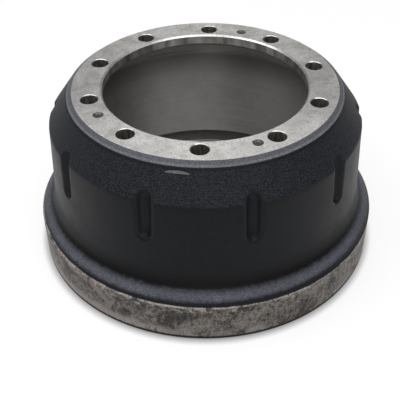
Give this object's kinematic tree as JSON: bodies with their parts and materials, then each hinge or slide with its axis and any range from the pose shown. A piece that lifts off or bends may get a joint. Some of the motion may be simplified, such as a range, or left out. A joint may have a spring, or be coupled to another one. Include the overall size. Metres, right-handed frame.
{
  "type": "brake drum",
  "caption": "Heavy truck brake drum: a bolt-on flange with stud holes and a large hub bore, a sloping shoulder, recesses round the wall and a thick flared rim.",
  "frame": {"origin": "centre of the open rim's face, on which the drum stands", "axes": "+Z along the wheel axis, from the open rim to the mounting face; -Y towards the viewer"},
  "size_m": [0.5149, 0.515, 0.258],
  "materials": {
    "casting": "dark paint on the casting; bare turned mounting face, hub bore, brake track and rim band"
  },
  "bodies": {
    "root": {"brake_drum": "casting"}
  },
  "joints": []
}
